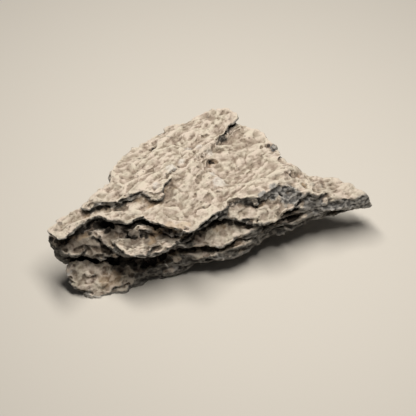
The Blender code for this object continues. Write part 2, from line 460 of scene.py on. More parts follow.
# %% Broken faces and terraces
# size of the faces in mm, how much their heights differ, tilt, seed
BREAKS = [((9, 9, 3.4), 1.5 * MM, 1.6, 0), ((4, 4, 2), 0.6 * MM, 1.8, 4.9)]
# step and swell in mm, size of the swell's lumps, seed
TERRACES = [(0.75, 2.0, (24, 10, 1), 4.4), (0.4, 1.3, (12, 7, 1), 8.8)]
TERRACE_ANGLE = 25
# share of a step where the rise to the next begins
RISE_FROM = 0.75


def swirled(places, reach, length, seed, axes=(0, 1)):
    """The places pushed about along some axes, so that straight patterns bend."""
    pushed = places.copy()
    for axis in axes:
        push = noise_over(places, length, seed + axis * AXES_APART, 1)
        pushed[:, axis] += push * reach * MM
    return pushed


def turned(places, degrees):
    """The places turned in the plan, so that patterns along x run at this angle."""
    angle = math.radians(degrees)
    found = places.copy()
    found[:, 0] = places[:, 0] * math.cos(angle) + places[:, 1] * math.sin(angle)
    found[:, 1] = places[:, 1] * math.cos(angle) - places[:, 0] * math.sin(angle)
    return found


def facets_over(places, length, tilt, seed):
    """Flat facets from about -0.5 to 0.5, each with its own height and tilt."""
    spots = places / (np.array(length) * MM) + seed
    middles = np.array([noise.voronoi(spot)[1][0] for spot in spots])
    lean = np.array([noise.cell_vector(middle) for middle in middles * CELLS_APART]) - 0.5
    return lean[:, 2] + np.einsum("ij,ij->i", lean, spots - middles) * tilt


def facet_heights(places, kinds):
    """Facets of several sizes, laid over each other."""
    height = np.zeros(len(places))
    for length, most, tilt, seed in kinds:
        height += facets_over(places, length, tilt, seed) * most
    return height


def side_breaks(places, outward):
    spots = swirled(places, reach=0.5, length=3, seed=6.3, axes=(0, 1, 2))
    return facet_heights(spots, BREAKS) * steepness(outward)


def top_terraces(places, outward):
    spots = turned(places * (1, 1, 0), TERRACE_ANGLE)
    spots = swirled(spots, reach=8, length=26, seed=2.2)
    lift = np.zeros(len(places))
    for step, swell, length, seed in TERRACES:
        stairs = noise_over(spots, length, seed) * swell / step
        tread = np.floor(stairs)
        lift += (tread + smooth_step(RISE_FROM, 1.0, stairs - tread)) * step
    upward = smooth_step(0.5, 0.9, outward[:, 2])
    return np.outer(lift * upward * MM, (0, 0, 1))


# %% [markdown]
# ### Marks that the photograph shows
#
# The slits, pits and low folds that are large enough to know one by one are drawn, each as a
# run of straight lines with a width and a depth. Points near the line sink into the stone.
# Height counts less than the plan in that distance, because the relief has moved the surface
# up and down.

# %% Slits, pits and folds
HEIGHT_COUNTS = np.array((1, 1, 0.4))
# the level middle of a mark, as a share of its width
MARK_MIDDLE = 0.25
# width and depth, then the corners of the line, in mm
MARKS = [
    (3, 1.2, [(10, 0.2, 36.2), (11.8, -1.7, 35.4)]),
    (1.3, 2, [(7.4, -0.2, 36.8), (8.2, 1.7, 36.6), (10, 2.2, 36.6), (11.6, 1.4, 36)]),
    (2.3, 1.4, [(39, 4.4, 33.4), (40.8, 2.4, 32.9)]),
    (0.8, 1.2, [(35, 3.5, 34.9), (38.2, 6.9, 33.9)]),
    (0.8, 1.8, [(-6.7, -23.8, 34), (-4.2, -23.4, 34), (-2.6, -24.8, 34.2), (0.1, -23.9, 35)]),
    (0.6, 0.8, [(0.7, -18.5, 35.2), (4.6, -16.7, 34.8), (7.7, -17.7, 34.7), (9.7, -23.8, 36.6)]),
    (0.7, 1.5, [
        (-20, -5.1, 39.8), (-17.1, -3.9, 39.9), (-14.4, -3.4, 40.2), (-11.9, -0.6, 40.1),
        (-9.1, 0.2, 39.8),
    ]),
    (0.8, 1.2, [(-7, 1, 40.2), (-4.5, 1.5, 39.9)]),
    (1.3, 1.6, [(-16.4, 19.9, 38.3), (-14.4, 20.3, 38.1)]),
    (0.8, 1.1, [(-24.3, 15.4, 39), (-20.6, 14.5, 39)]),
    (1.2, 0.9, [(10.3, 18.5, 38.3), (12.7, 18.7, 38.4)]),
    (0.7, 1, [(-15.8, -19.8, 33.7), (-13.7, -21.3, 34.3)]),
    (0.6, 0.8, [(37, -15.3, 35.6), (42.8, -12, 33.3)]),
    (0.6, 0.8, [(37.2, -17.6, 35.3), (41.8, -16.1, 35)]),
    (0.6, 0.6, [(30.1, 14.1, 32.8), (28.6, 4.8, 34.7), (25.2, -1.2, 34.5)]),
    (0.6, 0.6, [(20.4, 2.8, 35), (20.2, -3.8, 34.2), (22.3, -9.3, 33.9)]),
    (0.7, 0.6, [(14, -11.1, 34.1), (18.5, -18.3, 35.3), (27.9, -20.7, 35)]),
    (0.6, 0.6, [(25.8, -5.5, 33.6), (26.6, -14.6, 35.3), (30.6, -17.9, 35.6)]),
    (0.6, 0.7, [
        (-5.1, 7.5, 40.4), (-1.3, 8.9, 40.4), (3.3, 7.4, 39.6), (5.7, 4.2, 38.8), (5.4, 0.5, 37.8),
    ]),
    (0.6, 0.6, [(-4.2, 1.2, 38.9), (-3.1, -5, 39.6), (0.4, -6.6, 37.5), (4.6, -7, 37.6)]),
    (0.6, 0.6, [
        (-13.6, -7.8, 36.7), (-9.9, -12.2, 36.6), (-3.6, -13.8, 36.5), (1.8, -12.5, 36.5),
    ]),
    (0.6, 0.7, [(-11.2, 9.9, 40.5), (-5.6, 11.7, 40.5), (-0.9, 11.4, 40.3)]),
    (0.6, 0.7, [(-19.3, 5.7, 40.1), (-13.9, 6.6, 40.4), (-9.3, 6.1, 41)]),
    (0.6, 0.6, [(-25, 3.5, 40.2), (-18.1, 4.3, 40)]),
    (0.6, 0.6, [(-34, 1.6, 40.4), (-26.9, 2.9, 40.1), (-21.5, 4.2, 39.6)]),
    (0.6, 0.6, [(2.6, 24.5, 37.9), (8.9, 25.6, 38.4), (13.9, 24.5, 39.5)]),
    (0.6, 0.6, [(12.1, 31.7, 37.4), (17.7, 31.3, 38.2), (21.9, 27.5, 39.2)]),
    (1.7, 1.5, [(-49, -20.3, 7.9), (-47.9, -24.2, 9.3)]),
    (1.2, 1.6, [(-44.3, -26.7, 7), (-42.9, -27.4, 6.5)]),
    (1, 1.1, [(-70.5, -18.7, 11.6), (-69.2, -19.5, 11.2)]),
    (0.9, 1, [(-66.1, -24.4, 6.5), (-64.7, -25.1, 5.9)]),
    (0.9, 1, [(-61.5, -22, 8.8), (-59.8, -23.1, 8.3)]),
    (1, 1.2, [(-55.3, -20, 11.9), (-54.8, -20.6, 10.8)]),
    (0.8, 1.3, [(-48.3, -28.4, 4.3), (-43.7, -28, 2.4), (-40.3, -28, 2.3)]),
    (1.5, 3.6, [(-43.9, -19.9, 26.8), (-41, -21.6, 26), (-36.1, -23.4, 26.4)]),
    (0.6, 1.8, [(-45.6, -17.1, 27.7), (-41.5, -19.4, 27.6), (-37.1, -21.4, 27.3)]),
    (0.6, 1.6, [(-34.4, -21.6, 29.3), (-27.8, -23.4, 28.8)]),
    (1, 2.4, [
        (-24.5, -24.9, 29.6), (-23.6, -27.6, 30.1), (-21.9, -30.3, 30.2), (-17.5, -32.2, 30.4),
        (-15.2, -35.3, 34.2),
    ]),
    (0.6, 1.8, [
        (-47.7, -20, 26.2), (-46, -24.3, 26.6), (-43.1, -27.5, 26.8), (-38.2, -31.1, 27.4),
        (-32.9, -32.3, 26.7), (-28.7, -32.3, 26.6), (-24.6, -31.5, 26.9),
    ]),
    (0.5, 1.5, [
        (-35, -23, 26.5), (-33, -24.5, 25.7), (-34, -25.8, 25.1), (-31.4, -30.5, 27.2),
        (-26.2, -29.4, 26.8),
    ]),
    (0.5, 1.4, [
        (-34, -30.6, 27.2), (-30.6, -28.5, 26.4), (-27.6, -28.5, 26.6), (-24.1, -27.3, 27.7),
    ]),
    (1.2, 2.6, [
        (-75.5, -9.3, 27.9), (-74.2, -11.2, 26), (-72.8, -13.8, 24.3), (-70.4, -17.1, 21.4),
    ]),
    (1.4, 2, [(-67.2, -17.1, 22.9), (-64.1, -17, 22.7), (-61.2, -17.2, 22.9)]),
    (0.9, 1.8, [(-57.9, -18.1, 22.5), (-55.7, -19.4, 21.4), (-53.2, -20, 19.1)]),
    (1, 2, [
        (-55.8, -12.4, 25.3), (-54.2, -15.1, 24.1), (-51.5, -19.9, 26.3), (-49.2, -25.1, 25.9),
        (-46.6, -29.3, 25.5),
    ]),
    (1, 1.7, [(-10.2, -31.5, 22), (-8.8, -32.5, 21.9)]),
    (0.8, 1.1, [(-2.7, -31.3, 22.2), (-1.5, -32.2, 21.9)]),
    (0.8, 2.2, [(-17.1, -27.2, 13.7), (-12, -28.3, 13.9), (-7.2, -33.7, 18.7)]),
    (1, 2, [(-4.5, -32.8, 14.8), (-2.2, -32.1, 15.1), (-1.4, -34.7, 15.1)]),
    (0.8, 1.1, [(-8.5, -35, 12.7), (-6.1, -35.1, 12.8)]),
    (1, 2, [(6.2, -35.6, 15.4), (10.3, -35.6, 16.2)]),
    (1.3, 1.7, [(47.3, -22.9, 29.5), (47.6, -26, 30.8)]),
    (1.2, 1.5, [(51.4, -29, 29.9), (52.3, -30.4, 29.5)]),
    (1.1, 1.3, [(56.7, -31.6, 25.7), (58.1, -31.7, 24.3)]),
    (0.9, 1, [(44.2, -28.7, 30.1), (45.2, -28.6, 28.7)]),
    (0.8, 0.9, [(65.8, -32.9, 25.2), (66.9, -33.2, 24.3)]),
    (0.8, 0.9, [(56.6, -26.3, 27.1), (57.6, -26.9, 26.7)]),
    (1.1, 2, [
        (30.2, -27, 30.8), (33, -27.2, 30.5), (34.9, -28.9, 29.3), (37, -31.3, 28),
        (40.9, -30.6, 24.7),
    ]),
    (0.5, 1, [(36.4, -25, 32), (35.9, -29.4, 29.4)]),
    (0.5, 1, [(38.6, -25.5, 32), (37.9, -30.3, 28.1)]),
    (0.5, 1, [(40.7, -26.3, 31.5), (39.8, -31.2, 27.8)]),
    (0.6, 1, [(42.6, -27.7, 30.7), (43.1, -29.4, 25.7)]),
    (1.4, 2.4, [(31.6, -26.8, 30.9), (34.5, -27.2, 29.8)]),
    (1.5, 1.5, [
        (8.8, -26.6, 34.6), (12.1, -26.5, 34.3), (14.5, -27.3, 33.6), (17, -27.7, 32.8),
        (20.5, -28.4, 32.2), (24, -28.7, 31.6),
    ]),
    (0.5, 0.7, [(24.9, -30.6, 28.5), (25.7, -32.8, 27)]),
    (0.5, 0.7, [(27.9, -31, 27.6), (28.2, -33.5, 26.7)]),
    (0.6, 0.7, [(14.6, -31.2, 29.8), (17.4, -31.5, 30), (20.1, -32.4, 28.8)]),
]


def from_line(places, start, end):
    """Distance of each place from a straight line in mm."""
    away = (places / MM - start) * HEIGHT_COUNTS
    run = (end - start) * HEIGHT_COUNTS
    share = np.clip(away @ run / (run @ run), 0, 1)
    return np.linalg.norm(away - np.outer(share, run), axis=1)


def marks(places, outward):
    sink = np.zeros(len(places))
    for width, depth, corners in MARKS:
        corners = np.array(corners)
        for start, end in zip(corners, corners[1:]):
            away = from_line(places, start, end)
            share = 1 - smooth_step(MARK_MIDDLE, 1.0, away / width)
            sink = np.maximum(sink, depth * share)
    return -sink * MM


shape_skin(skin, (side_beds, side_breaks, top_terraces, marks))

# %% [markdown]
# ### Healing
#
# Points that moved far can still cross each other. A second voxel remesh makes one clean
# skin again, and a light smoothing takes off the steps that it leaves. Loose crumbs are
# removed: only the body of the highest point is kept. Flaps thinner than any real sheet
# draw back to the stone, and a point far from the mean of its neighbours is a spike and
# goes back to that mean.

# %% Clean skin
SMOOTHING = 0.4
SPIKE = 0.22 * MM
SPIKE_ROUNDS = 10
FLAP = 0.6 * MM
FLAP_LIFT_OFF = 0.02 * MM
FLAP_ROUNDS = 70
# rounds in which thin places are blurred, and the least share that counts as thin
FLAP_SPREAD, FLAP_SHARE = 3, 0.1


def edge_links(mesh):
    links = np.empty(len(mesh.edges) * 2, np.int32)
    mesh.edges.foreach_get("vertices", links)
    return links.reshape(-1, 2)


def neighbour_mean(values, links):
    """The mean of each point's neighbours, or 0 for a point without links."""
    count = np.maximum(np.bincount(links.ravel(), minlength=len(values)), 1)[:, None]
    total = np.zeros_like(values)
    for column in range(values.shape[1]):
        for here, there in ((0, 1), (1, 0)):
            total[:, column] += np.bincount(
                links[:, here], values[links[:, there], column], minlength=len(values)
            )
    return total / count


def blurred(values, links, rounds):
    """Each point's value averaged with its neighbours' over and over."""
    for _ in range(rounds):
        values = (values + neighbour_mean(values, links)) / 2
    return values


def without_spikes(mesh):
    links, places = edge_links(mesh), skin_points(mesh)[0]
    for _ in range(SPIKE_ROUNDS):
        mean = neighbour_mean(places, links)
        spiky = np.linalg.norm(places - mean, axis=1) > SPIKE
        places[spiky] = mean[spiky]
    put_points(mesh, places)
    print("spiky points in the last round:", int(spiky.sum()))


def without_flaps(mesh):
    """Points in and around thin flaps move to the mean of their neighbours."""
    links, (places, outward) = edge_links(mesh), skin_points(mesh)
    thin = free_way(search_tree(mesh), places, -outward, FLAP_LIFT_OFF) < FLAP
    thin = blurred(thin[:, None].astype(float), links, FLAP_SPREAD)[:, 0] > FLAP_SHARE
    links = links[thin[links].any(axis=1)]
    for _ in range(FLAP_ROUNDS):
        places[thin] = neighbour_mean(places, links)[thin]
    put_points(mesh, places)
    print("points in thin flaps:", int(thin.sum()))


def without_crumbs(mesh):
    """Removes what isn't joined to the highest point."""
    body = bmesh.new()
    body.from_mesh(mesh)
    front = [max(body.verts, key=lambda vertex: vertex.co.z)]
    kept = set(front)
    while front:
        vertex = front.pop()
        found = [edge.other_vert(vertex) for edge in vertex.link_edges]
        found = [other for other in found if other not in kept]
        kept.update(found)
        front.extend(found)
    crumbs = [vertex for vertex in body.verts if vertex not in kept]
    bmesh.ops.delete(body, geom=crumbs, context="VERTS")
    body.to_mesh(mesh)
    body.free()
    print("points of loose crumbs removed:", len(crumbs))


skin = with_modifier(skin, "REMESH", mode="VOXEL", voxel_size=SKIN_CELL)
without_crumbs(skin)
without_flaps(skin)
skin = with_modifier(skin, "SMOOTH", factor=SMOOTHING, iterations=1)
without_spikes(skin)
print("clean skin:", len(skin.vertices), "points")

# %% [markdown]
# ### Dissolved hollows, wrinkles, pits and grain
#
# Water dissolves limestone into small hollows with sharp rims, like thumbprints in clay,
# and opens fine creases between flat flakes. Short wrinkles lie over the tops in bent
# bundles. Pits are where soft grains fell out, and a fine roughness covers everything. At
# the end the foot is put level again and the highest bumps are pressed down, so that the
# stone keeps its measured height.

# %% Hollows, wrinkles, pits and grain
# size of the lumps along x, y and z in mm, then how high or deep they are
HOLLOW_LENGTH, HOLLOW_DEPTH = (7.5, 4, 4), 0.22 * MM
WRINKLE_LENGTH, WRINKLE_HEIGHT = (9, 3, 6), 0.24 * MM
RIDGE_LENGTH, RIDGE_HEIGHT = (3.4, 2.8, 2.8), 0.08 * MM
PIT_LENGTH, PIT_DEPTH = (4.2, 2.4, 2.4), 0.5 * MM
GRAIN_LENGTH, GRAIN_HEIGHT = (1.8, 1.4, 1.4), 0.09 * MM
# as for the broken faces: size, heights, tilt, seed
FLAKES = [((7.5, 4.2, 4.2), 0.4 * MM, 1.8, 6.1), ((2.6, 1.9, 1.9), 0.13 * MM, 1.8, 3.4)]
WRINKLE_ANGLE = 30
BUNDLE_LENGTH = (19, 13, 13)
FOOT_HEIGHT = 0.6 * MM
ROOF_ROOM = 0.3 * MM
ROOF_PRESS = 0.7


def hollows_over(places, length, seed):
    """Round hollows that meet in sharp ridges, from -0.3 up to 0.7."""
    spots = places / (np.array(length) * MM) + seed
    return np.array([noise.voronoi(spot)[0][0] for spot in spots]) ** 2 - 0.3


def ridges_over(places, length, seed):
    """Soft noise folded at zero: sharp ridges up to 0.5, broad dips between."""
    return 0.5 - np.abs(noise_over(places, length, seed)) * 1.6


def along_wrinkles(places, reach, length):
    """The places turned to the run of the wrinkles and swirled."""
    return swirled(turned(places, WRINKLE_ANGLE), reach, length, 9.2)


def hollows(places, outward):
    spots = along_wrinkles(places, reach=9, length=15)
    return hollows_over(spots, HOLLOW_LENGTH, 3.3) * HOLLOW_DEPTH


def flakes(places, outward):
    spots = along_wrinkles(places, reach=9, length=15)
    spots = swirled(spots, reach=0.7, length=2.2, seed=1.2, axes=(0, 1, 2))
    return facet_heights(spots, FLAKES)


def ridges(places, outward):
    return ridges_over(places, RIDGE_LENGTH, 1.9) * RIDGE_HEIGHT


def wrinkles(places, outward):
    spots = along_wrinkles(places, reach=12, length=20)
    folds = ridges_over(spots, WRINKLE_LENGTH, 2.6)
    bundles = smooth_step(-0.3, 0.5, noise_over(places, BUNDLE_LENGTH, 6.6, 2))
    upward = smooth_step(0.2, 0.7, outward[:, 2])
    return folds * bundles * WRINKLE_HEIGHT * (0.2 + 0.8 * upward)


def pits(places, outward):
    holes = smooth_step(0.62, 1.0, noise_over(places, PIT_LENGTH, 5.9, 2))
    return -holes * PIT_DEPTH


def grain(places, outward):
    return noise_over(places, GRAIN_LENGTH, 8.3) * GRAIN_HEIGHT


def kept_height(places, outward):
    """The places with a level foot and with the highest bumps pressed down."""
    height = places[:, 2].copy()
    height[(height < FOOT_HEIGHT) & (outward[:, 2] < -0.5) | (height < 0)] = 0
    too_high = np.maximum(height - cad_high[2] - ROOF_ROOM, 0)
    return np.column_stack((places[:, :2], height - too_high * ROOF_PRESS))


shape_skin(skin, (hollows, flakes, wrinkles, ridges, pits, grain))
without_spikes(skin)
put_points(skin, kept_height(*skin_points(skin)))

# %% [markdown]
# ## Fewer faces where the stone is flat
#
# The skin has the same small cells everywhere. Collapsing edges thins it where it is flat,
# down to what one piece may have. Sharp turns are shaded as creases, so that breaks look
# crisp.

# %% Thinned skin
MOST_TRIANGLES = 195000
SHARP_ANGLE = math.radians(32)


def triangle_count(mesh):
    return sum(len(polygon.vertices) - 2 for polygon in mesh.polygons)


keep = min(1.0, MOST_TRIANGLES / triangle_count(skin))
fine = with_modifier(skin, "DECIMATE", ratio=keep, use_collapse_triangulate=True)
fine.name = "seiryu_stone"
stone = in_scene("seiryu_stone", fine)
fine.shade_smooth()
fine.set_sharp_from_angle(angle=SHARP_ANGLE)
print("stone:", triangle_count(fine), "triangles")

# %% [markdown]
# ## Weather and painted shade at each point
#
# Five values are worked out for every point and kept on the mesh, where the material reads
# them by name. Shelter is the share of rays outwards that soon hit the stone again: soil
# gathers there, and the material paints shade there. Sky view is the share of the sky
# overhead that the point sees: the crust bleaches where it is large, and sides that see
# little sky are painted darker as shade. Ridge and swell say how far it stands above the
# points close by and further off: ridges are lighter and furrows darker, partly as wear and
# dirt, partly as painted highlight and painted shade. Facing says how much the stone around
# it faces up.

# %% Shelter and sky view
SHELTER_RAYS, SHELTER_SPREAD, SHELTER_REACH = 18, 0.98, 14 * MM
SKY_RAYS, SKY_SPREAD, SKY_REACH = 10, 0.75, 60 * MM


def ray_fan(count, spread):
    """Directions around +Z, evenly over a disc; a spread of 1 reaches the horizon."""
    fan = []
    for index in range(count):
        out = math.sqrt((index + 0.5) / count) * spread
        turn = index * math.pi * (3 - math.sqrt(5))
        fan.append(Vector((out * math.cos(turn), out * math.sin(turn), math.sqrt(1 - out * out))))
    return fan


def weather_values(mesh):
    """Shelter and sky view of every point of a mesh."""
    tree = search_tree(mesh)
    around = ray_fan(SHELTER_RAYS, SHELTER_SPREAD)
    above = ray_fan(SKY_RAYS, SKY_SPREAD)
    shelter, sky_view = np.empty((2, len(mesh.vertices)), np.float32)
    for index, vertex in enumerate(mesh.vertices):
        turn = vertex.normal.to_track_quat("Z", "Y")
        start = vertex.co + vertex.normal * LIFT_OFF
        hits = [tree.ray_cast(start, turn @ way, SHELTER_REACH)[0] for way in around]
        shelter[index] = sum(hit is not None for hit in hits) / SHELTER_RAYS
        open_sky = [way for way in above if way.dot(vertex.normal) > 0]
        hits = [tree.ray_cast(start, way, SKY_REACH)[0] for way in open_sky]
        sky_view[index] = sum(hit is None for hit in hits) / SKY_RAYS
    return shelter, sky_view


# %% Height over the points around, and a softer facing
NEAR_ROUNDS, WIDE_ROUNDS, FACING_ROUNDS = 3, 14, 12


def keep_on_mesh(mesh, name, values):
    layer = mesh.attributes.new(name, "FLOAT", "POINT")
    layer.data.foreach_set("value", np.asarray(values, np.float32))
    print(name, "is mostly between", np.percentile(values, (5, 95)).round(2))


places, outward = skin_points(fine)
links = edge_links(fine)
near = blurred(places, links, NEAR_ROUNDS)
wide = blurred(near, links, WIDE_ROUNDS)
shelter, sky_view = weather_values(fine)
facing = blurred(outward, links, FACING_ROUNDS)[:, 2]
keep_on_mesh(fine, "ridge", np.einsum("ij,ij->i", places - near, outward) / MM)
keep_on_mesh(fine, "swell", np.einsum("ij,ij->i", near - wide, outward) / MM)
keep_on_mesh(fine, "shelter", blurred(shelter[:, None], links, 1)[:, 0])
keep_on_mesh(fine, "sky_view", blurred(sky_view[:, None], links, 2)[:, 0])
keep_on_mesh(fine, "facing", facing)

# %% [markdown]
# ### Drawn patches
#
# Some tints have little to do with shelter or sky view: ledges that the crust covers, which
# also paint light on ledges under the lips; faces that broke lately and have no crust yet;
# stains, which also paint shade under the lips and in pits; black painted shade in slots and
# gaps; knots of white calcite; and a little tan soil. Each kind is a list of balls, and a
# point's value is 1 well inside any of them and 0 outside.

# %% Crust and painted light, fresh breaks, stains and shade, black shade, calcite and soil
# shares of a ball's radius where its value begins to fall and is 0
BALL_EDGES = (0.3, 1.2)
# x, y, z and radius in mm
PATCHES = {
    # pale crust, and painted light on lower ledges that lie in the lips' shade
    "crust_and_light": [
        (-67.9, -17.7, 12.5, 4), (-63.3, -18.9, 11.8, 4), (-58.4, -19.3, 11.4, 4),
        (-55.5, -20.3, 10.1, 4), (-70, -20.6, 9.1, 4), (-64.9, -22.7, 7.9, 5),
        (-58.7, -24.1, 6.8, 5), (-52.6, -26.4, 6.6, 4), (-67.6, -25.6, 6, 4),
        (-61.6, -27.4, 4.2, 4), (-46.5, -28.1, 4.6, 4), (-59.7, -17.9, 21.2, 1.5),
        (-53, -19, 20, 1.5), (-49.5, -22.1, 17.5, 2), (-10, -30.7, 21.9, 4),
        (-6.4, -30.2, 22.3, 4), (-4.1, -32.9, 20.5, 4), (2.2, -34.2, 20.5, 4),
        (-9.5, -34, 20.3, 4), (-21, -30.1, 11.6, 3), (-10.1, -33.8, 13.3, 3),
        (10.7, -33.3, 16.1, 3), (9.6, -29.8, 30.6, 3.5), (14.4, -30.1, 29, 4),
        (18.9, -31.6, 28.6, 4), (23.1, -33.9, 26.9, 4), (27.8, -35, 26.1, 4),
        (33.2, -33.7, 25, 3.5), (6, -33.3, 21.5, 4), (10.6, -34.8, 21.2, 3),
    ],
    "fresh": [
        (25.5, -27.6, 35.4, 3), (32.1, -25.3, 32.3, 5), (38, -27.4, 29.7, 6.5),
        (42.3, -29.3, 27.5, 5), (47.3, -31.7, 23.9, 4.5), (51.2, -33.7, 21.1, 5.5),
        (58, -34.7, 19.5, 5), (64.3, -36.4, 20.3, 4.5), (70.2, -36.8, 19.7, 5),
        (74.5, -36.9, 19.5, 5), (41.4, 2.6, 33.2, 3.2),
    ],
    # brown stains, and painted shade under the lips, in the boat's hollow and in pits
    "stain_and_shade": [
        (35.6, -31.4, 21.8, 5), (40, -30.6, 18.2, 5), (31.5, -35, 24.6, 3), (-41, -20, 27.5, 6),
        (-48, -18.1, 26.4, 7), (-39.7, -23.4, 24.4, 8), (-30.9, -28.3, 26.3, 7),
        (-22.7, -29.5, 28.1, 6), (-69.7, -11.4, 25.3, 7), (-63.6, -13.2, 24.6, 8),
        (-57.6, -17.8, 22.5, 8), (-48.2, -23.4, 10.1, 6), (-16.2, 20, 38.2, 1.5),
        (-14.6, 20.3, 38, 1.5), (-23.5, 15.1, 38.8, 1.2), (-21.5, 14.7, 38.8, 1.2),
        (12.2, 19.5, 38.2, 1.3), (9.2, 3.2, 35.2, 1.7), (0, -23.9, 34, 1.1),
        (-3, -23.7, 33.8, 1.2), (-5.5, -23.9, 34, 1), (48, -24.2, 29.4, 1.5),
        (53.2, -28.6, 28.5, 1.4), (57.4, -33.1, 25.1, 1.4), (-12.1, -0.8, 40.2, 1.1),
        (-9.6, 0.5, 39.9, 1.1), (-7.6, 1.3, 39.8, 1), (-14.6, -2.4, 40.6, 1.1),
        (-73.1, -12, 34.9, 1.4), (-70.5, -8.2, 34.7, 1.6), (-66.6, -12.6, 35.1, 1.3),
    ],
    # painted shade: black where slots and the gaps under the lips lie in shade
    "black_shade": [
        (-54.5, -7, 36.4, 2.4), (-50.5, -6.2, 35.9, 2.2), (-46.8, -7, 35.7, 2.2),
        (-43.5, -8, 36.2, 1.8), (39.8, 4.6, 33.8, 1.5), (-15.4, 20.2, 37.2, 1.8),
        (8.6, 3.5, 35.1, 1.5), (10.2, 2.7, 34.6, 1.1), (21.2, -29, 32.9, 1.7),
        (-20.5, -33.6, 26.1, 1.2), (-17.9, -33.3, 26.2, 1.8), (-15.4, -33.2, 26.6, 2.1),
        (-12.8, -32.4, 26.7, 2.4), (-6.6, -33, 30, 1.5), (-11.4, -30.3, 23.7, 2.2),
        (-8, -29.9, 22.7, 1.6), (-9.3, -29.3, 24.5, 2.2), (-5.5, -27.7, 24.5, 2.4),
        (-0.3, -27.4, 24.2, 2.2), (2.6, -26.4, 24.3, 2.2), (5.3, -27, 24.5, 2.2),
        (7.7, -29, 24.9, 1.8), (10.6, -30.1, 24, 1.8), (13.7, -30.7, 22.9, 1.8),
        (16, -34.6, 25.3, 1.7), (18.9, -35.9, 24.9, 1.3), (22.8, -33.6, 20.2, 1.5),
        (-2.8, -31.6, 30.8, 1.6), (-0.8, -30.4, 30.3, 1.6), (1.3, -29.1, 29.8, 1.8),
        (3, -29.1, 31, 1.6), (4.5, -29.1, 32, 1.4), (-57.6, -9, 28, 2.2), (-53.4, -9, 27.5, 2.5),
        (-49.6, -9.9, 26.8, 2.5), (-46.3, -14, 28.3, 2), (-76, -8.9, 26.9, 1.8),
        (-74.1, -11.2, 27, 1.9), (-71.8, -11.4, 26, 1.9), (-69.3, -11.1, 26.2, 2),
        (-66.7, -10.6, 27.2, 2.2), (-64, -10.6, 27.9, 2.2), (-61.4, -10.6, 28.6, 2.2),
        (-57.8, -12.2, 26.5, 1.3), (-56.9, -14.7, 25.6, 1.4), (-55.5, -15.2, 23.9, 1.7),
        (-40.3, -17.2, 30.4, 1.5), (-37.1, -17.4, 29.9, 1.5), (-34.1, -18.4, 30.2, 1.5),
        (-31.1, -19.9, 30.4, 1.4), (-64.9, -12.3, 11.8, 3), (-60.1, -11.4, 8.2, 3),
        (-50.5, -16.3, 7.5, 3), (-45.9, -22.7, 11.4, 3), (-41.3, -23.6, 9.4, 3.5),
        (-36.5, -23.9, 7.7, 3.5), (-31.7, -24.7, 7.5, 3.5), (-26.2, -23.6, 8, 3.5),
        (-21.2, -25.4, 13.5, 2), (-52.3, -10.6, 26.5, 3.5), (-49.1, -14.2, 26.8, 2.5),
        (-35.1, -16.6, 30.2, 2), (-29.9, -18.7, 30, 2), (-41.8, -20.7, 25.6, 1.6),
        (-37.6, -23, 26.3, 1.6), (-22.2, -29.6, 30.6, 1.5), (7.6, -29.3, 24.4, 2),
        (12.1, -30.5, 23.3, 2), (16.2, -34, 25, 1.5), (20.2, -34.7, 25.2, 1.5),
        (9.5, -26.5, 34.4, 1.4), (12, -26.5, 34, 1.4), (14.5, -27.1, 33.4, 1.4),
        (17, -27.4, 32.6, 1.5), (19.8, -28, 32.2, 1.5), (22.9, -28.7, 32.3, 1.4),
        (-54.3, -15.4, 22.6, 1.7), (-52.6, -18.3, 20.8, 1.7), (-50.4, -21, 19, 1.7),
        (-47.6, -22.8, 18, 1.7), (-40.7, -21.5, 25.6, 2), (-38.3, -22.9, 26, 1.9),
        (-35.6, -23.1, 25.4, 1.8), (-33.1, -23.9, 25.5, 1.4),
    ],
    "calcite": [
        (0.6, 12.4, 39.3, 2.6), (10.1, 6.5, 38.3, 2.4), (7.3, -0.9, 36.5, 1.8),
        (7.2, -6.3, 36.4, 2.2), (8.4, -10.9, 34.9, 4.2), (-11.6, 1.6, 41.3, 3.4),
        (-5.2, 4.7, 40.3, 2.4), (-21.4, -7.2, 40.7, 2.2), (6.2, 11.3, 39.1, 2.2),
    ],
    "tan": [
        (-26.5, -24.5, 29.3, 3.6), (-22, -30, 35, 3.4), (-16.7, -32.3, 35.2, 3),
        (-13.6, -32.8, 35.4, 2.2), (-52, -26.2, 6, 5), (-56.5, -25.6, 5.6, 4),
    ],
}


def patch_values(places, balls):
    value = np.zeros(len(places))
    for x, y, z, radius in balls:
        away = np.linalg.norm(places / MM - (x, y, z), axis=1) / radius
        value = np.maximum(value, 1 - smooth_step(*BALL_EDGES, away))
    return value


for kind, balls in PATCHES.items():
    keep_on_mesh(fine, kind, patch_values(places, balls))

# %% [markdown]
# ## Stone material
#
# The material is put together in layers: bare grey stone on the sides, a crust on the tops,
# fresh breaks, then stains, soil, calcite and painted shade in the clefts and slots. Some of
# the crust paints light and some of the stains paint shade. All patterns read object
# coordinates or the values kept on the mesh, so they stay on the stone.

# %% Helpers for shader nodes
def from_screen(red, green, blue):
    """A screen's colour, 0 to 255, as the light that shaders use."""
    return (*[((value / 255 + 0.055) / 1.055) ** 2.4 for value in (red, green, blue)], 1.0)


